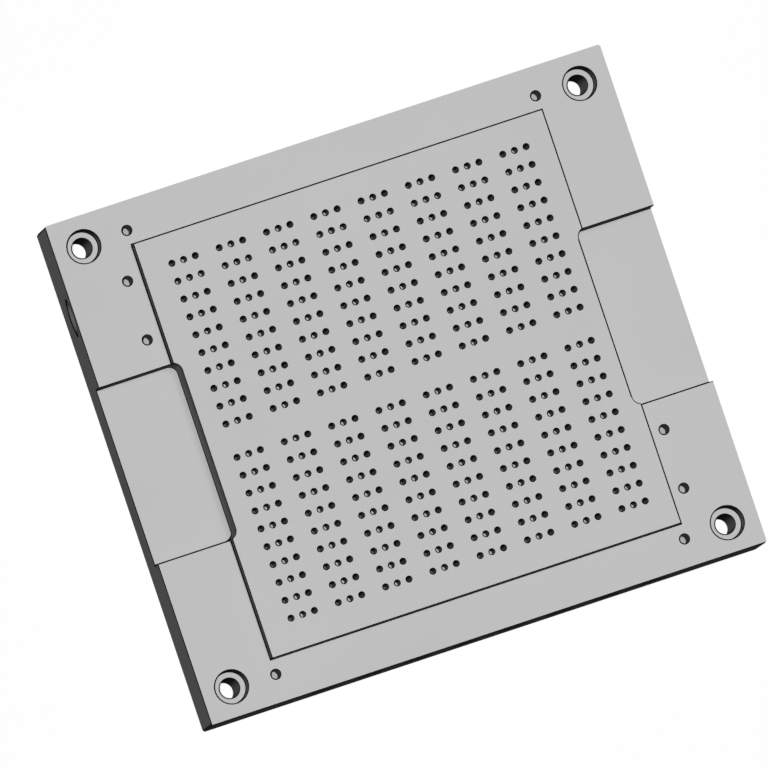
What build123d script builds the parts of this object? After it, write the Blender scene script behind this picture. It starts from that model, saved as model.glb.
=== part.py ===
# Vacuum table: a machined plate with a raised, drilled pad for sheet workpieces.
# Air is drawn through the pad's suction holes into parallel galleries, which a cross
# gallery joins to one threaded port in the left side. Plugs close the galleries' mouths.
# Millimetres. Origin at the middle of the underside, +X right, +Y back, +Z up.
import os
from math import radians, tan

from build123d import *

os.makedirs("parts", exist_ok=True)

# Plate, and the pad that stands on it inside a ledge
plate_length = 250.0
plate_width = 223.5
frame_height = 40.0
corner_chamfer = 0.8
side_ledge = 33.0
end_ledge = 18.95
pad_height = 6.0

# Clamp pockets, one in each side, cut a little way into the pad
pocket_length = 78.8
pocket_depth = 13.2
pocket_reach = 2.7
pocket_corner_radius = 4.0

# Suction holes, in groups of three over each gallery, between margins from the pad's edges
hole_diameter = 2.4
hole_pitch = 5.25
holes_per_gallery = 3
gallery_count = 8
rows_per_block = 10
block_gap = 14.9
left_margin = 13.1
right_margin = 11.5
back_margin = 12.95
front_margin = 13.75

# Galleries under the pad, drilled from the front, and the cross gallery from the port
gallery_diameter = 11.8
gallery_drop = 12.0
gallery_overrun = 4.0
cross_gallery_diameter = 11.8
row_count_behind_port = 1
port_diameter = 15.25
port_depth = 16.0
drill_point_angle = 118.0

# Plugs in the gallery mouths
plug_length = 9.0
plug_recess = 1.5
plug_clearance = 0.05
plug_chamfer = 0.6
plug_socket_width = 6.0
plug_socket_depth = 5.0

# Bolt holes through the corners
bolt_side_distance = 13.4
bolt_end_distance = 13.2
bolt_hole_diameter = 8.5
bolt_head_diameter = 14.3
bolt_head_depth = 9.4

# Threaded holes for work stops, beside the pad's edges
stop_hole_diameter = 4.2
stop_hole_depth = 16.0
stop_edge_distance = 6.6
side_stop_inset = 14.0
side_stop_pitch = 26.3

# Levels and positions worked out from the sizes above
pad_length = plate_length - 2 * side_ledge
pad_width = plate_width - 2 * end_ledge
pad_top = frame_height + pad_height
pocket_inner_x = pad_length / 2 - pocket_reach
group_width = (holes_per_gallery - 1) * hole_pitch
gallery_pitch = (pad_length - left_margin - right_margin - group_width) / (gallery_count - 1)
row_pitch = (pad_width - back_margin - front_margin - block_gap) / (2 * (rows_per_block - 1))
grid_center_x = (left_margin - right_margin) / 2
grid_center_y = (front_margin - back_margin) / 2
block_length = (rows_per_block - 1) * row_pitch
block_center_distance = block_length + block_gap
back_row_y = pad_width / 2 - back_margin
gallery_height = frame_height - gallery_drop
gallery_span = (gallery_count - 1) * gallery_pitch
gallery_depth = back_row_y + gallery_overrun + plate_width / 2
cross_gallery_y = back_row_y - row_count_behind_port * row_pitch
cross_gallery_depth = grid_center_x + gallery_span / 2 + plate_length / 2
bolt_spacing_x = plate_length - 2 * bolt_side_distance
bolt_spacing_y = plate_width - 2 * bolt_end_distance
stop_spacing_y = pad_width + 2 * stop_edge_distance
side_stop_x = pad_length / 2 + stop_edge_distance
side_stop_y = pad_width / 2 - side_stop_inset - side_stop_pitch / 2


def point_height(radius):
    """Height of the cone that a drill leaves at the bottom of a blind hole."""
    return radius / tan(radians(drill_point_angle / 2))


def front_plane(depth):
    """Plane at a depth behind the front face, centred on the row of galleries, looking out of it."""
    return Plane(
        origin=(grid_center_x, depth - plate_width / 2, gallery_height),
        x_dir=(1, 0, 0),
        z_dir=(0, -1, 0),
    )


def left_plane(depth):
    """Plane at a depth behind the left face, on the cross gallery's axis, looking out of it."""
    return Plane(
        origin=(depth - plate_length / 2, cross_gallery_y, gallery_height),
        x_dir=(0, -1, 0),
        z_dir=(-1, 0, 0),
    )


def drill_point(radius):
    """Cut the cone of a drill point below the current locations."""
    Cone(
        bottom_radius=0,
        top_radius=radius,
        height=point_height(radius),
        align=(Align.CENTER, Align.CENTER, Align.MAX),
        mode=Mode.SUBTRACT,
    )


with BuildPart() as table_plate:
    # Frame with its corners broken, and the pad
    with BuildSketch() as frame_outline:
        Rectangle(plate_length, plate_width)
        chamfer(frame_outline.vertices(), corner_chamfer)
    extrude(amount=frame_height)
    with BuildSketch(Plane.XY.offset(frame_height)):
        Rectangle(pad_length, pad_width)
    extrude(amount=pad_height)

    # Pockets, open to the sides, with round corners at their inner ends
    with BuildSketch(Plane.XY.offset(pad_top)) as pockets:
        Rectangle(2 * plate_length, pocket_length)
        Rectangle(2 * pocket_inner_x, pocket_length, mode=Mode.SUBTRACT)
        inner_edges = pockets.edges().filter_by(Axis.Y).group_by(lambda edge: abs(edge.center().X))[0]
        fillet(inner_edges.vertices(), pocket_corner_radius)
    extrude(amount=-pad_height - pocket_depth, mode=Mode.SUBTRACT)

    # Corner bolt holes
    with Locations(Plane.XY.offset(frame_height)):
        with GridLocations(bolt_spacing_x, bolt_spacing_y, 2, 2):
            CounterBoreHole(
                radius=bolt_hole_diameter / 2,
                counter_bore_radius=bolt_head_diameter / 2,
                counter_bore_depth=bolt_head_depth,
            )

    # Stop holes: four in line with the pad's sides, and two more at each side
    with GridLocations(pad_length, stop_spacing_y, 2, 2) as end_stops:
        stop_places = end_stops.local_locations
    with GridLocations(0, side_stop_pitch, 1, 2) as side_stops:
        for x, y in ((-side_stop_x, side_stop_y), (side_stop_x, -side_stop_y)):
            stop_places += [Location((x, y)) * place for place in side_stops.local_locations]
    with Locations(Plane.XY.offset(frame_height)):
        with Locations(*stop_places):
            Hole(stop_hole_diameter / 2, depth=stop_hole_depth)
    with Locations(Plane.XY.offset(frame_height - stop_hole_depth)):
        with Locations(*stop_places):
            drill_point(stop_hole_diameter / 2)

    # Galleries from the front face
    with Locations(front_plane(0)):
        with GridLocations(gallery_pitch, 0, gallery_count, 1):
            Hole(gallery_diameter / 2, depth=gallery_depth)
    with Locations(front_plane(gallery_depth)):
        with GridLocations(gallery_pitch, 0, gallery_count, 1):
            drill_point(gallery_diameter / 2)

    # Port and cross gallery from the left side
    with Locations(left_plane(0)):
        CounterBoreHole(
            radius=cross_gallery_diameter / 2,
            counter_bore_radius=port_diameter / 2,
            counter_bore_depth=port_depth,
            depth=cross_gallery_depth,
        )
    with Locations(left_plane(cross_gallery_depth)):
        drill_point(cross_gallery_diameter / 2)

    # Suction holes, down to the middle of the galleries
    with Locations(Plane.XY.offset(pad_top)):
        with Locations((grid_center_x, grid_center_y)):
            with GridLocations(gallery_pitch, block_center_distance, gallery_count, 2):
                with GridLocations(hole_pitch, row_pitch, holes_per_gallery, rows_per_block):
                    Hole(hole_diameter / 2, depth=pad_top - gallery_height)

table_plate.part.label = "table_plate"
export_step(table_plate.part, "parts/table_plate.step")


# Hexagon socket plugs, one screwed into each gallery mouth until it lies below the face
for number in range(1, gallery_count + 1):
    plug_x = (number - (gallery_count + 1) / 2) * gallery_pitch
    with BuildPart() as gallery_plug:
        with BuildSketch(front_plane(plug_recess)):
            with Locations((plug_x, 0)):
                Circle(gallery_diameter / 2 - plug_clearance)
        extrude(amount=-plug_length)
        chamfer(gallery_plug.edges().filter_by(GeomType.CIRCLE), plug_chamfer)
        with BuildSketch(front_plane(plug_recess)):
            with Locations((plug_x, 0)):
                RegularPolygon(plug_socket_width / 2, 6, major_radius=False)
        extrude(amount=-plug_socket_depth, mode=Mode.SUBTRACT)
    gallery_plug.part.label = f"gallery_plug_{number}"
    export_step(gallery_plug.part, f"parts/gallery_plug_{number}.step")
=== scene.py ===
import math

import bmesh
import bpy
from mathutils import Matrix, Vector


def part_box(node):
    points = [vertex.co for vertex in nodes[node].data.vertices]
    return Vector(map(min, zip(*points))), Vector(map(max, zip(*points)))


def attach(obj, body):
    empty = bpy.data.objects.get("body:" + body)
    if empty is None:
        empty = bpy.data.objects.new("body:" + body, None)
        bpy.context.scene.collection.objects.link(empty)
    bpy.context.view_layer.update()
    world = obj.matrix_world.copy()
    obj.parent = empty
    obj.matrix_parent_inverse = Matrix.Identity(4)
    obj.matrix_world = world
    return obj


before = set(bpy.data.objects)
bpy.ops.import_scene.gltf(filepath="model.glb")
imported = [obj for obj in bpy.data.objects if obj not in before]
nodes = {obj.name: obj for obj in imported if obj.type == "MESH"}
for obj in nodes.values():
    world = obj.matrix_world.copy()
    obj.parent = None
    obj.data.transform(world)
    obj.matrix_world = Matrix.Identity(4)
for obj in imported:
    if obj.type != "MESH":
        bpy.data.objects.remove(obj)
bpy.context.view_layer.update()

mm = 0.001
scene = bpy.context.scene
print("frame loaded:", len(nodes), "CAD nodes")


# Camera: looks down on the pad, almost from straight above, turned as in the photograph
camera = {
    "target": (-9.549 * mm, 2.894 * mm, 46 * mm),
    "azimuth": -69.6,
    "elevation": 82.84,
    "roll": 51.18,
    "frameWidth": 325.88 * mm,  # what the picture's width covers at the pad's height
    "lens": 1600,  # so long that the picture has next to no perspective
    "sensor": 36,
    "clip": (0.1, 100),
}


def makeCamera():
    data = bpy.data.cameras.new("camera")
    data.sensor_width = camera["sensor"]
    data.lens = camera["lens"]
    data.clip_start, data.clip_end = camera["clip"]
    azimuth = math.radians(camera["azimuth"])
    elevation = math.radians(camera["elevation"])
    back = Vector((
        math.sin(azimuth) * math.cos(elevation),
        -math.cos(azimuth) * math.cos(elevation),
        math.sin(elevation),
    ))
    distance = camera["frameWidth"] * camera["lens"] / camera["sensor"]
    roll = Matrix.Rotation(math.radians(camera["roll"]), 3, "Z")
    turn = back.to_track_quat("Z", "Y").to_matrix() @ roll
    place = Vector(camera["target"]) + back * distance
    obj = bpy.data.objects.new("camera", data)
    obj.matrix_world = Matrix.Translation(place) @ turn.to_4x4()
    scene.collection.objects.link(obj)
    scene.camera = obj


makeCamera()
print("camera placed")


# Small helpers for node trees
def addNode(tree, kind, **settings):
    node = tree.nodes.new(kind)
    for key, value in settings.items():
        setattr(node, key, value)
    return node


def plug(tree, socket, value):
    if isinstance(value, bpy.types.NodeSocket):
        tree.links.new(value, socket)
    else:
        socket.default_value = value


def mathNode(tree, operation, *values):
    node = addNode(tree, "ShaderNodeMath", operation=operation)
    for socket, value in zip(node.inputs, values):
        plug(tree, socket, value)
    return node.outputs[0]


def add(tree, first, second):
    return mathNode(tree, "ADD", first, second)


def minus(tree, first, second):
    return mathNode(tree, "SUBTRACT", first, second)


def times(tree, first, second):
    return mathNode(tree, "MULTIPLY", first, second)


def absolute(tree, value):
    return mathNode(tree, "ABSOLUTE", value)


def smallest(tree, first, second):
    return mathNode(tree, "MINIMUM", first, second)


def largest(tree, first, *others):
    for other in others:
        first = mathNode(tree, "MAXIMUM", first, other)
    return first


def isAbove(tree, value, limit):
    return mathNode(tree, "GREATER_THAN", value, limit)


def isBelow(tree, value, limit):
    return mathNode(tree, "LESS_THAN", value, limit)


def rangeNode(tree, value, start, end, toStart=0.0, toEnd=1.0):
    node = addNode(tree, "ShaderNodeMapRange", clamp=True)
    for name, number in (("From Min", start), ("From Max", end), ("To Min", toStart), ("To Max", toEnd)):
        node.inputs[name].default_value = number
    tree.links.new(value, node.inputs["Value"])
    return node.outputs["Result"]


def mixColor(tree, factor, first, second, blend="MIX"):
    node = addNode(tree, "ShaderNodeMix", data_type="RGBA", blend_type=blend)
    plug(tree, node.inputs[0], factor)
    plug(tree, node.inputs[6], first)  # sockets 6 and 7 are the two colours
    plug(tree, node.inputs[7], second)
    return node.outputs[2]


def mixNumber(tree, factor, first, second):
    node = addNode(tree, "ShaderNodeMix", data_type="FLOAT")
    plug(tree, node.inputs[0], factor)
    plug(tree, node.inputs[2], first)  # sockets 2 and 3 are the two numbers
    plug(tree, node.inputs[3], second)
    return node.outputs[0]


noise = {
    "lineDetail": 3.0,
    "lineRoughness": 0.65,
    "cloudDetail": 4.0,
    "reach": (0.2, 0.8),  # the part of a noise's values that is used
}


def lineNoise(tree, along, spacing):
    node = addNode(tree, "ShaderNodeTexNoise", noise_dimensions="1D")
    node.inputs["Scale"].default_value = 1.0
    node.inputs["Detail"].default_value = noise["lineDetail"]
    node.inputs["Roughness"].default_value = noise["lineRoughness"]
    tree.links.new(mathNode(tree, "DIVIDE", along, spacing), node.inputs["W"])
    return node.outputs[0]


def cloudNoise(tree, vector, size):
    node = addNode(tree, "ShaderNodeTexNoise", noise_dimensions="3D")
    node.inputs["Scale"].default_value = 1.0 / size
    node.inputs["Detail"].default_value = noise["cloudDetail"]
    tree.links.new(vector, node.inputs["Vector"])
    return node.outputs[0]


def bumpNode(tree, height, depth):
    bump = addNode(tree, "ShaderNodeBump")
    bump.inputs["Distance"].default_value = depth
    tree.links.new(height, bump.inputs["Height"])
    return bump.outputs[0]


def separate(tree, vector):
    node = addNode(tree, "ShaderNodeSeparateXYZ")
    tree.links.new(vector, node.inputs[0])
    return node.outputs


def distanceNode(tree, u, v):
    return mathNode(tree, "SQRT", add(tree, times(tree, u, u), times(tree, v, v)))


def away(tree, value, target):
    return absolute(tree, minus(tree, value, target))


def newMaterial(name):
    material = bpy.data.materials.new(name)
    material.use_nodes = True
    material.node_tree.nodes.clear()
    tree = material.node_tree
    shader = addNode(tree, "ShaderNodeBsdfPrincipled")
    output = addNode(tree, "ShaderNodeOutputMaterial")
    tree.links.new(shader.outputs[0], output.inputs["Surface"])
    return material, tree, shader


def dress(obj, material):
    obj.data.materials.clear()
    obj.data.materials.append(material)


# Plate of milled aluminium: arcs of a face mill on the pad, smaller cutters on the ledge and in
# the pockets, upright cutter lines on the sides and rings in the bores; painted shade darkens the
# walls, bores, port and deep floors and draws dark lines along the rims
plateHalf = tuple(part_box("table_plate")[1].xy)
padHalf = (plateHalf[0] - 33 * mm, plateHalf[1] - 18.95 * mm)  # inside the ledge
stopDistance = 6.6 * mm  # from the pad's edges to the stop holes
sideStopPitch = 26.3 * mm
ledgeTop = 40 * mm
plate = {
    "dark": (0.50, 0.50, 0.505, 1),
    "light": (0.58, 0.58, 0.582, 1),
    "marksShare": 0.6,  # of the tone that follows the cutters' marks, the rest follows a soft cloud
    "cloud": 60 * mm,
    "roughness": (0.14, 0.22),
    "markDepth": 0.004 * mm,
    "metallic": 0.45,
    "glossFade": (0.87, 0.80),  # how far round a face turns when its gloss is gone, and still full
    "sunkFade": 0.5,  # how much less gloss the pockets' floors have
    "flat": (0.6, 0.8),  # a face begins to count as looking along an axis, and fully counts
    "level": (0.96, 0.98),  # the same for the rings, which only level faces have
    "reach": 0.1 * mm,  # how near a wall a point counts as being on it
    # Places and counts, from the plate's middle and its underside
    "pocketEnd": 39.4 * mm,
    "pocketInner": padHalf[0] - 2.7 * mm,
    "pocketRadius": 4 * mm,
    "pocketFloor": ledgeTop - 13.2 * mm,
    "gridCenter": (0.8 * mm, 0.4 * mm),
    "galleries": 8,
    "galleryPitch": 21.27 * mm,
    "holesPerGallery": 3,
    "holePitch": 5.25 * mm,
    "rowsPerBlock": 10,
    "rowPitch": 8 * mm,
    "firstRow": 7.45 * mm,
    "suctionRadius": 1.2 * mm,
    "bolt": (plateHalf[0] - 13.4 * mm, plateHalf[1] - 13.2 * mm),
    "boltRadii": (7.15 * mm, 4.25 * mm),
    "endStop": (padHalf[0], padHalf[1] + stopDistance),
    "sideStop": (padHalf[0] + stopDistance, padHalf[1] - 14 * mm - sideStopPitch),
    "sideStops": 2,
    "stopRadius": 2.1 * mm,
    "port": (71.85 * mm, 28 * mm),  # its axis's Y and Z
    "portRadius": 7.625 * mm,
    "cutters": {
        "pad": {"radius": 31.5 * mm, "pass": 42 * mm, "feed": 0.55 * mm},
        "ledge": {"radius": 10 * mm, "pass": 14 * mm, "feed": 0.4 * mm},
        "pocket": {"radius": 4 * mm, "pass": 5.5 * mm, "feed": 0.3 * mm},
        "sideFeed": 0.5 * mm,
        "boreFeed": 0.2 * mm,
        "padHeights": (42 * mm, 44 * mm),  # between these the ledge's marks give way to the pad's
        "ledgeHeights": (32 * mm, 36 * mm),  # and the pockets' marks to the ledge's
    },
    # Painted shade of the walls, bores, port and deep floors, as shares of the aluminium's own grey
    "paintedShading": {
        "wall": (0.2, 0.42),  # painted shade on the pocket walls, darkest where they look forward
        "wallFacing": (-0.8, -0.4),
        # painted shade on the pad's sides
        "padSide": 0.3,
        "padSideReach": 0.2 * mm,  # how far inside the pad's outline its sides still count
        "bore": (0.075, 0.62),  # painted shade in the bores, lightest where they look left and back
        "boreFacing": (0.1, 1.0),
        "boreLight": (-0.73, 0.68),
        "belowSeat": 1.5,  # times the bore's painted shade: the bore is painted lighter below the seats of the bolts' heads
        "seatHeights": (30.7 * mm, 30.4 * mm),
        # painted shade inside the port
        "port": 0.2,
        "portEnd": -100 * mm,  # the port's painted shade is to the left of this
        "portReach": 0.05 * mm,
        "deep": (0.3, 0.88),  # painted shade on the floors of galleries and stop holes, lightest where they look left
        "deepFacing": (0.4, -0.2),
        "deepHeight": 22.5 * mm,
        "deepReach": 3 * mm,
        "pocketFloorReach": 0.5 * mm,
    },
    # Widths of the painted shade lines along the rims, at the walls' feet and round the holes
    "shadeLines": {
        "color": (0.006, 0.006, 0.006, 1),
        "softness": 0.02 * mm,
        "plate": 0.40 * mm,
        "padTop": 0.33 * mm,
        "padFoot": {"left": 0.56 * mm, "right": 1.0 * mm, "front": 0.45 * mm, "back": 0.58 * mm},
        "padLowest": 38 * mm,  # the pad has no line below this height
        "pocketTop": 0.35 * mm,
        "rightPocketTop": 0.23 * mm,  # added along the right pocket's inner wall
        "pocketFoot": 0.36 * mm,
        "frontPocketFoot": 0.45 * mm,  # added along the pockets' front walls
        "frontWall": (-36.5 * mm, -38.3 * mm),  # which this added width grows towards
        "portMouthShade": 0.4 * mm,
        "portRingShade": 1.0 * mm,
        "rings": (0.32 * mm, 0.32 * mm, 0.4 * mm, 0.4 * mm),  # suction, stop, bolt head, bolt shank
        "ringShift": (0.11 * mm, 0.04 * mm),  # the rings are a little wider at their left
        "upright": 0.8 * mm,  # how far from an edge the upright faces begin to darken
        "uprightFacing": (0.998, 0.98),
        "uprightSamples": 12,
    },
}


def cutterMarks(tree, x, y, cutter):
    half = cutter["pass"] / 2
    across = mathNode(tree, "WRAP", y, half, -half)
    arc = mathNode(tree, "SQRT", minus(tree, cutter["radius"] ** 2, times(tree, across, across)))
    return lineNoise(tree, minus(tree, x, arc), cutter["feed"])


def levelMarks(tree, x, y, z):
    cutters = plate["cutters"]
    onPad = rangeNode(tree, z, *cutters["padHeights"])
    onLedge = rangeNode(tree, z, *cutters["ledgeHeights"])
    pocketMarks = cutterMarks(tree, x, y, cutters["pocket"])
    ledgeMarks = cutterMarks(tree, y, x, cutters["ledge"])
    marks = mixNumber(tree, onLedge, pocketMarks, ledgeMarks)
    return mixNumber(tree, onPad, marks, cutterMarks(tree, x, y, cutters["pad"]))


def wallMarks(tree, x, y, z, facing, inBore):
    cutters = plate["cutters"]
    facesAside = rangeNode(tree, absolute(tree, facing["X"]), *plate["flat"])
    sideMarks = lineNoise(tree, mixNumber(tree, facesAside, x, y), cutters["sideFeed"])
    return mixNumber(tree, inBore, sideMarks, lineNoise(tree, z, cutters["boreFeed"]))


def within(tree, distance, width):
    softness = plate["shadeLines"]["softness"]
    return rangeNode(tree, distance, width + softness, width - softness)


def nearestStep(tree, value, first, pitch, count):
    index = mathNode(tree, "DIVIDE", minus(tree, value, first - pitch / 2), pitch)
    index = smallest(tree, mathNode(tree, "FLOOR", index), count - 1.0)
    index = largest(tree, index, 0.0)
    return minus(tree, minus(tree, value, first), times(tree, index, pitch))


# Painted shade: dark lines along the pad's top rims and at its foot, along the pockets and the plate's
# outline
def padShadeLine(tree, x, y, z, absX, absY):
    shadeLines = plate["shadeLines"]
    halfX, halfY = padHalf
    inside = smallest(tree, minus(tree, halfX, absX), minus(tree, halfY, absY))
    foot = shadeLines["padFoot"]
    return largest(
        tree,
        minus(tree, inside, shadeLines["padTop"]),
        minus(tree, x, halfX + foot["right"]),
        minus(tree, -halfX - foot["left"], x),
        minus(tree, y, halfY + foot["back"]),
        minus(tree, -halfY - foot["front"], y),
        minus(tree, shadeLines["padLowest"], z),
    )


def pocketShadeLine(tree, x, y, absX, absY):
    shadeLines = plate["shadeLines"]
    radius = plate["pocketRadius"]
    inward = minus(tree, plate["pocketInner"] + radius, absX)
    endward = minus(tree, absY, plate["pocketEnd"] - radius)
    corner = distanceNode(tree, largest(tree, inward, 0.0), largest(tree, endward, 0.0))
    rightInner = times(tree, isAbove(tree, x, 0.0), isBelow(tree, endward, 0.0))
    above = minus(tree, corner, radius + shadeLines["pocketTop"])
    above = minus(tree, above, times(tree, rightInner, shadeLines["rightPocketTop"]))
    inFront = rangeNode(tree, y, *shadeLines["frontWall"], 0.0, shadeLines["frontPocketFoot"])
    below = minus(tree, radius - shadeLines["pocketFoot"], add(tree, corner, inFront))
    return largest(tree, above, below)


def outlineShadeMask(tree, x, y, z, absX, absY):
    halfX, halfY = plateHalf
    sides = smallest(tree, away(tree, x, -halfX), away(tree, y, -halfY))
    sides = minus(tree, sides, plate["shadeLines"]["plate"])
    nearest = smallest(tree, padShadeLine(tree, x, y, z, absX, absY), sides)
    return within(tree, smallest(tree, nearest, pocketShadeLine(tree, x, y, absX, absY)), 0.0)


# Painted shade: upright faces are painted darker near their edges
def uprightShadeMask(tree):
    shadeLines = plate["shadeLines"]
    bevel = addNode(tree, "ShaderNodeBevel", samples=shadeLines["uprightSamples"])
    bevel.inputs["Radius"].default_value = shadeLines["upright"]
    geometry = addNode(tree, "ShaderNodeNewGeometry")
    dot = addNode(tree, "ShaderNodeVectorMath", operation="DOT_PRODUCT")
    tree.links.new(bevel.outputs[0], dot.inputs[0])
    tree.links.new(geometry.outputs["Normal"], dot.inputs[1])
    return rangeNode(tree, dot.outputs["Value"], *shadeLines["uprightFacing"])


def holeDistances(tree, x, y):
    absX = absolute(tree, x)
    absY = absolute(tree, y)
    centerX, centerY = plate["gridCenter"]
    pitch = plate["galleryPitch"]
    group = nearestStep(tree, away(tree, x, centerX), pitch / 2, pitch, plate["galleries"] / 2)
    holes = (plate["holesPerGallery"] + 1) / 2
    hole = nearestStep(tree, absolute(tree, group), 0.0, plate["holePitch"], holes)
    rows = plate["rowsPerBlock"]
    row = nearestStep(tree, away(tree, y, centerY), plate["firstRow"], plate["rowPitch"], rows)
    suction = distanceNode(tree, hole, row)
    boltX, boltY = plate["bolt"]
    bolt = distanceNode(tree, minus(tree, absX, boltX), minus(tree, absY, boltY))
    endX, endY = plate["endStop"]
    endStop = distanceNode(tree, minus(tree, absX, endX), minus(tree, absY, endY))
    sideX, sideY = plate["sideStop"]
    sideRow = nearestStep(tree, absY, sideY, sideStopPitch, plate["sideStops"])
    sideStop = distanceNode(tree, minus(tree, absX, sideX), sideRow)
    bare = isAbove(tree, times(tree, x, y), 0.0)  # the two corners without side stops
    stop = smallest(tree, endStop, add(tree, sideStop, bare))
    headRadius, shankRadius = plate["boltRadii"]
    return (
        (suction, plate["suctionRadius"]),
        (stop, plate["stopRadius"]),
        (bolt, headRadius),
        (bolt, shankRadius),
    )


def boreMask(tree, x, y):
    reach = plate["reach"]
    masks = [within(tree, distance, radius + reach) for distance, radius in holeDistances(tree, x, y)]
    return largest(tree, 0.0, *masks)


# Painted shade: dark rings round the mouths of the holes
def ringShadeMask(tree, x, y):
    shadeLines = plate["shadeLines"]
    shifted = [add(tree, value, shift) for value, shift in zip((x, y), shadeLines["ringShift"])]
    masks = [
        within(tree, away(tree, distance, radius), width)
        for (distance, radius), width in zip(holeDistances(tree, *shifted), shadeLines["rings"])
    ]
    return largest(tree, 0.0, *masks)


# Painted shade on the pocket walls, darkest where they look forward, and on the pad's sides
def wallPaintedShade(tree, z, facing, absX, absY):
    paintedShading = plate["paintedShading"]
    paintedTone = rangeNode(tree, facing["Y"], *paintedShading["wallFacing"], *paintedShading["wall"])
    halfX, halfY = padHalf
    beyond = largest(tree, minus(tree, absX, halfX), minus(tree, absY, halfY))
    onPadSide = times(tree, isAbove(tree, beyond, -paintedShading["padSideReach"]), isAbove(tree, z, ledgeTop))
    return mixNumber(tree, onPadSide, paintedTone, paintedShading["padSide"])


# Painted shade in the bores, lightest where they look left and back, and painted lighter below the bolts'
# seats
def borePaintedShade(tree, z, facing):
    paintedShading = plate["paintedShading"]
    towardsX, towardsY = paintedShading["boreLight"]
    lit = add(tree, times(tree, facing["X"], towardsX), times(tree, facing["Y"], towardsY))
    paintedTone = rangeNode(tree, lit, *paintedShading["boreFacing"], *paintedShading["bore"])
    return times(tree, paintedTone, rangeNode(tree, z, *paintedShading["seatHeights"], 1.0, paintedShading["belowSeat"]))


def deepMask(tree, z, flat):
    paintedShading = plate["paintedShading"]
    return times(tree, flat, within(tree, away(tree, z, paintedShading["deepHeight"]), paintedShading["deepReach"]))


def makeAluminium():
    paintedShading = plate["paintedShading"]
    shadeLines = plate["shadeLines"]
    material, tree, shader = newMaterial("milledAluminium")
    place = addNode(tree, "ShaderNodeTexCoord")
    x, y, z = separate(tree, place.outputs["Object"])
    facing = separate(tree, place.outputs["Normal"])
    absX = absolute(tree, x)
    absY = absolute(tree, y)
    upward = absolute(tree, facing["Z"])
    flat = rangeNode(tree, upward, *plate["flat"])
    deep = deepMask(tree, z, flat)
    inBore = boreMask(tree, x, y)
    portY, portZ = plate["port"]
    fromPort = distanceNode(tree, minus(tree, y, portY), minus(tree, z, portZ))

    # Grey of the metal, between dark and light by the cutters' marks
    marks = mixNumber(tree, flat, wallMarks(tree, x, y, z, facing, inBore), levelMarks(tree, x, y, z))
    cloud = cloudNoise(tree, place.outputs["Object"], plate["cloud"])
    share = plate["marksShare"]
    blend = add(tree, times(tree, marks, share), times(tree, cloud, 1 - share))
    body = mixColor(tree, blend, plate["dark"], plate["light"])

    # Painted shade on the walls, bores, port and deep floors; level faces and the plate's outer sides
    # keep their full grey
    onSideX = within(tree, away(tree, absX, plateHalf[0]), plate["reach"])
    onSideY = within(tree, away(tree, absY, plateHalf[1]), plate["reach"])
    bright = largest(tree, flat, largest(tree, onSideX, onSideY))
    paintedTone = mixNumber(tree, inBore, wallPaintedShade(tree, z, facing, absX, absY), borePaintedShade(tree, z, facing))
    paintedTone = mixNumber(tree, bright, paintedTone, 1.0)
    paintedTone = mixNumber(tree, deep, paintedTone, rangeNode(tree, facing["X"], *paintedShading["deepFacing"], *paintedShading["deep"]))
    inPort = within(tree, fromPort, plate["portRadius"] + paintedShading["portReach"])
    inPort = times(tree, inPort, isBelow(tree, x, paintedShading["portEnd"]))
    paintedTone = mixNumber(tree, inPort, paintedTone, paintedShading["port"])
    body = mixColor(tree, 1.0, body, paintedTone, blend="MULTIPLY")

    # Painted shade: dark lines along the rims, at the walls' feet, round the holes and round the port
    level = rangeNode(tree, upward, *plate["level"])
    outlineShade = outlineShadeMask(tree, x, y, z, absX, absY)
    levelShadeLines = largest(tree, outlineShade, times(tree, ringShadeMask(tree, x, y), level))
    wallShadeLines = times(tree, uprightShadeMask(tree), minus(tree, 1.0, inBore))
    portMouthShade = within(tree, away(tree, x, -plateHalf[0]), shadeLines["portMouthShade"])
    portRingShade = within(tree, fromPort, plate["portRadius"] + shadeLines["portRingShade"])
    dark = largest(tree, mixNumber(tree, flat, wallShadeLines, levelShadeLines), times(tree, portMouthShade, portRingShade))
    plug(tree, shader.inputs["Base Color"], mixColor(tree, dark, body, shadeLines["color"]))
    plug(tree, shader.inputs["Roughness"], rangeNode(tree, marks, *noise["reach"], *plate["roughness"]))
    plug(tree, shader.inputs["Normal"], bumpNode(tree, marks, plate["markDepth"]))

    # Gloss, which fades where a face turns away and is missing inside the holes
    turned = addNode(tree, "ShaderNodeLayerWeight")
    gloss = rangeNode(tree, turned.outputs["Facing"], *plate["glossFade"], 0.0, plate["metallic"])
    onPocketFloor = within(tree, away(tree, z, plate["pocketFloor"]), paintedShading["pocketFloorReach"])
    sunk = times(tree, times(tree, flat, onPocketFloor), plate["sunkFade"])
    hidden = largest(tree, deep, inBore, sunk)
    plug(tree, shader.inputs["Metallic"], times(tree, gloss, minus(tree, 1.0, hidden)))
    shader.inputs["Specular IOR Level"].default_value = 0.0
    return material


dress(nodes["table_plate"], makeAluminium())
print("plate dressed")


# Zinc plated steel of the hexagon socket plugs: turned rings about each plug's axis
steel = {
    "dark": (0.23, 0.23, 0.238, 1),
    "light": (0.34, 0.34, 0.35, 1),
    "metallic": 0.85,
    "roughness": (0.28, 0.45),
    "ringFeed": 0.25 * mm,
    "markDepth": 0.003 * mm,
}


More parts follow.
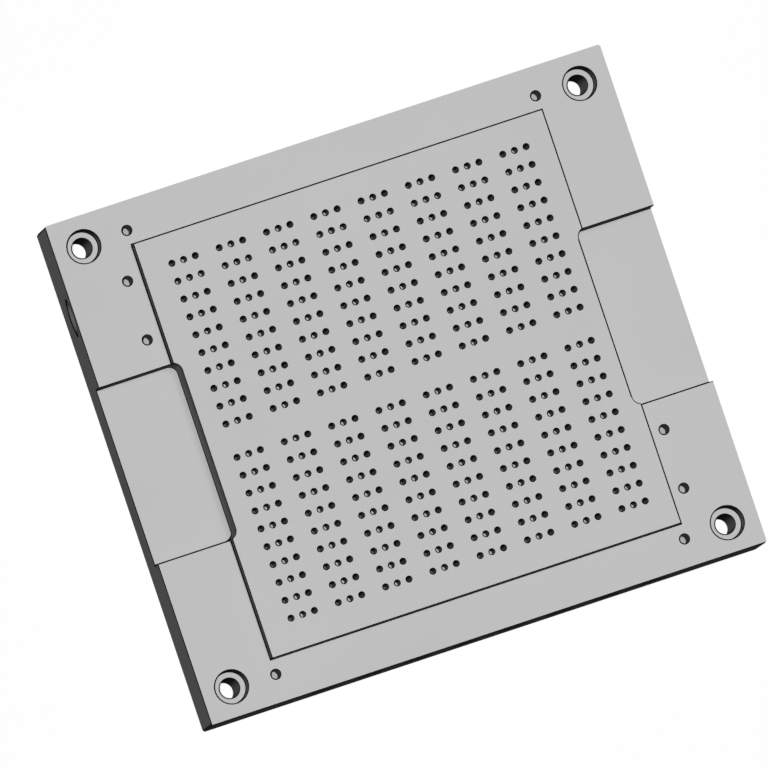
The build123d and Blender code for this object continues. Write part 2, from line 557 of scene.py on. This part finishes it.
def makeSteel(name, center):
    s = steel
    material, tree, shader = newMaterial(name)
    place = addNode(tree, "ShaderNodeTexCoord")
    centred = addNode(tree, "ShaderNodeMapping")
    centred.inputs["Location"].default_value = (-center.x, -center.y, -center.z)
    tree.links.new(place.outputs["Object"], centred.inputs["Vector"])
    x, _, z = separate(tree, centred.outputs[0])
    rings = lineNoise(tree, distanceNode(tree, x, z), s["ringFeed"])
    plug(tree, shader.inputs["Base Color"], mixColor(tree, rings, s["dark"], s["light"]))
    plug(tree, shader.inputs["Roughness"], rangeNode(tree, rings, *noise["reach"], *s["roughness"]))
    plug(tree, shader.inputs["Normal"], bumpNode(tree, rings, s["markDepth"]))
    shader.inputs["Metallic"].default_value = s["metallic"]
    return material


plugNames = sorted(name for name in nodes if name.startswith("gallery_plug_"))
plugCenters = [sum(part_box(name), Vector()) / 2 for name in plugNames]
for name, center in zip(plugNames, plugCenters):
    dress(nodes[name], makeSteel(name.replace("gallery_plug", "platedSteel"), center))
print("plugs dressed:", len(plugNames))


# Threads: a fine ridge winds down the port, the stop holes and the gallery mouths
threads = {
    "port": {
        "bore": 2 * plate["portRadius"], "pitch": 1.337 * mm, "depth": 0.45 * mm,
        "start": 1.0 * mm, "length": 13 * mm, "steps": 48,
    },
    "stop": {
        "bore": 2 * plate["stopRadius"], "pitch": 0.8 * mm, "depth": 0.25 * mm,
        "start": 0.3 * mm, "length": 13 * mm, "steps": 24,
    },
    "gallery": {
        "bore": 11.8 * mm, "pitch": 1.337 * mm, "depth": 0.35 * mm,
        "start": 0.1 * mm, "length": 1.7 * mm, "steps": 48,
    },
    "seat": 0.05 * mm,  # how far the ridge's foot lies inside the wall
    "width": 0.88,  # of the pitch
    "crest": (0.42, 0.58),  # where the crest begins and ends, as shares of the width
    "runOut": 0.5,  # in how much of the width the ridge grows to its full height
    "lowest": 0.1,  # what is left of its height at the ends
    # painted shade: both tones are darker than the plate's metal, the deep ones in the stop holes darkest
    "openShadedTones": ((0.13, 0.13, 0.132, 1), (0.22, 0.22, 0.222, 1)),
    "deepShadedTones": ((0.025, 0.025, 0.026, 1), (0.06, 0.06, 0.061, 1)),
    "roughness": (0.3, 0.45),
    "metallic": 0.3,
    "specular": 0.1,
    "grain": 0.4 * mm,
    "grainDepth": 0.002 * mm,
}


# Thread finish with painted shade in its tones
def makeTapped(name, tappedShadedTones):
    t = threads
    material, tree, shader = newMaterial(name)
    place = addNode(tree, "ShaderNodeTexCoord")
    grain = cloudNoise(tree, place.outputs["Object"], t["grain"])
    plug(tree, shader.inputs["Base Color"], mixColor(tree, grain, *tappedShadedTones))
    plug(tree, shader.inputs["Roughness"], rangeNode(tree, grain, *noise["reach"], *t["roughness"]))
    plug(tree, shader.inputs["Normal"], bumpNode(tree, grain, t["grainDepth"]))
    shader.inputs["Metallic"].default_value = t["metallic"]
    shader.inputs["Specular IOR Level"].default_value = t["specular"]
    return material


def makeThread(name, size, mouth, outward, finish):
    wall = size["bore"] / 2
    seat = wall + threads["seat"]
    crest = wall - size["depth"]
    width = size["pitch"] * threads["width"]
    steps = round((size["length"] - width) / size["pitch"] * size["steps"])
    upper, lower = (-width * share for share in threads["crest"])
    mesh = bmesh.new()
    profile = ((seat, 0.0), (crest, upper), (crest, lower), (seat, -width))
    face = mesh.faces.new([mesh.verts.new((radius, 0, height)) for radius, height in profile])
    bmesh.ops.spin(
        mesh, geom=[face], cent=(0, 0, 0), axis=(0, 0, -1),
        dvec=(0, 0, -size["pitch"] / size["steps"]), angle=math.tau * steps / size["steps"], steps=steps,
    )
    for vert in mesh.verts:  # the ridge runs out at both ends
        fade = min(-vert.co.z, vert.co.z + size["length"]) / (threads["runOut"] * width)
        radius = vert.co.xy.length
        if radius < wall:
            height = max(threads["lowest"], min(1.0, fade))
            vert.co.xy *= (seat - (seat - radius) * height) / radius
    bmesh.ops.recalc_face_normals(mesh, faces=mesh.faces)
    bmesh.ops.translate(mesh, verts=mesh.verts, vec=(0, 0, -size["start"]))
    turn = Vector(outward).to_track_quat("Z", "Y").to_matrix().to_4x4()
    bmesh.ops.transform(mesh, matrix=Matrix.Translation(mouth) @ turn, verts=mesh.verts)
    data = bpy.data.meshes.new(name)
    mesh.to_mesh(data)
    mesh.free()
    obj = bpy.data.objects.new(name, data)
    scene.collection.objects.link(obj)
    dress(obj, finish)
    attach(obj, "root")


def stopPlaces():
    endX, endY = plate["endStop"]
    places = [(x, y) for x in (-endX, endX) for y in (-endY, endY)]
    sideX, sideY = plate["sideStop"]
    for side in (-1, 1):
        for step in range(plate["sideStops"]):
            places.append((side * sideX, -side * (sideY + step * sideStopPitch)))
    return places


openTappedShaded = makeTapped("openTappedShaded", threads["openShadedTones"])
deepTappedShaded = makeTapped("deepTappedShaded", threads["deepShadedTones"])
makeThread("portThread", threads["port"], (-plateHalf[0], *plate["port"]), (-1, 0, 0), openTappedShaded)
for number, (x, y) in enumerate(stopPlaces(), 1):
    makeThread(f"stopThread_{number}", threads["stop"], (x, y, ledgeTop), (0, 0, 1), deepTappedShaded)
for number, center in enumerate(plugCenters, 1):
    mouth = (center.x, -plateHalf[1], center.z)
    makeThread(f"galleryThread_{number}", threads["gallery"], mouth, (0, -1, 0), openTappedShaded)
print("threads cut:", 1 + len(stopPlaces()) + len(plugNames))


# Floor, white to the camera and to reflections, which keeps the plate's soft shadow
floor = {
    "size": 6.0,
    "drop": 0.02 * mm,
    "bounce": (0.01, 0.01, 0.01, 1),  # its colour in the light that it throws back on the plate
    "glow": 0.82,
    "shadowShare": 0.18,  # of its white that shadows take away
}


def seenFactor(tree):
    path = addNode(tree, "ShaderNodeLightPath")
    return largest(
        tree,
        path.outputs["Is Camera Ray"],
        path.outputs["Is Glossy Ray"],
        path.outputs["Is Transmission Ray"],
    )


def chooseShader(tree, unseen, seen, output):
    choose = addNode(tree, "ShaderNodeMixShader")
    tree.links.new(seenFactor(tree), choose.inputs[0])
    tree.links.new(unseen.outputs[0], choose.inputs[1])
    tree.links.new(seen.outputs[0], choose.inputs[2])
    tree.links.new(choose.outputs[0], output.inputs["Surface"])


def makeFloor():
    mesh = bmesh.new()
    bmesh.ops.create_grid(mesh, x_segments=1, y_segments=1, size=floor["size"] / 2)
    bmesh.ops.translate(mesh, verts=mesh.verts, vec=(0, 0, -floor["drop"]))
    data = bpy.data.meshes.new("floor")
    mesh.to_mesh(data)
    mesh.free()
    obj = bpy.data.objects.new("floor", data)
    scene.collection.objects.link(obj)

    material = bpy.data.materials.new("paleFloor")
    material.use_nodes = True
    tree = material.node_tree
    tree.nodes.clear()
    output = addNode(tree, "ShaderNodeOutputMaterial")
    bounce = addNode(tree, "ShaderNodeBsdfDiffuse")
    bounce.inputs["Color"].default_value = floor["bounce"]
    shaded = addNode(tree, "ShaderNodeBsdfDiffuse")
    shaded.inputs["Color"].default_value = (floor["shadowShare"],) * 3 + (1,)
    glow = addNode(tree, "ShaderNodeEmission")
    glow.inputs["Strength"].default_value = floor["glow"]
    white = addNode(tree, "ShaderNodeAddShader")
    tree.links.new(glow.outputs[0], white.inputs[0])
    tree.links.new(shaded.outputs[0], white.inputs[1])
    chooseShader(tree, bounce, white, output)
    dress(obj, material)


makeFloor()
print("floor laid")


# Light: one soft lamp, a little to the left of overhead, and a dim even surround
light = {
    "tilt": 6.8,  # degrees from overhead
    "from": 192.5,  # compass direction of the tilt, counted from +X towards +Y
    "strength": 2.95,
    "softness": 1.0,  # degrees across, as seen from the plate
    "surround": 0.006,
}


def makeLight():
    data = bpy.data.lights.new("overhead", "SUN")
    data.energy = light["strength"]
    data.angle = math.radians(light["softness"])
    tilt = math.radians(light["tilt"])
    heading = math.radians(light["from"])
    toLamp = Vector((
        math.sin(tilt) * math.cos(heading),
        math.sin(tilt) * math.sin(heading),
        math.cos(tilt),
    ))
    obj = bpy.data.objects.new("overhead", data)
    obj.matrix_world = Matrix.Translation(toLamp) @ toLamp.to_track_quat("Z", "Y").to_matrix().to_4x4()
    obj.visible_glossy = False
    scene.collection.objects.link(obj)


def makeSurround():
    world = bpy.data.worlds.new("surround")
    world.use_nodes = True
    tree = world.node_tree
    tree.nodes.clear()
    output = addNode(tree, "ShaderNodeOutputWorld")
    dim = addNode(tree, "ShaderNodeBackground")
    dim.inputs["Color"].default_value = (1, 1, 1, 1)
    dim.inputs["Strength"].default_value = light["surround"]
    white = addNode(tree, "ShaderNodeBackground")
    white.inputs["Color"].default_value = (1, 1, 1, 1)
    chooseShader(tree, dim, white, output)
    scene.world = world


makeLight()
makeSurround()
scene.view_settings.view_transform = "Standard"
print("lights set")
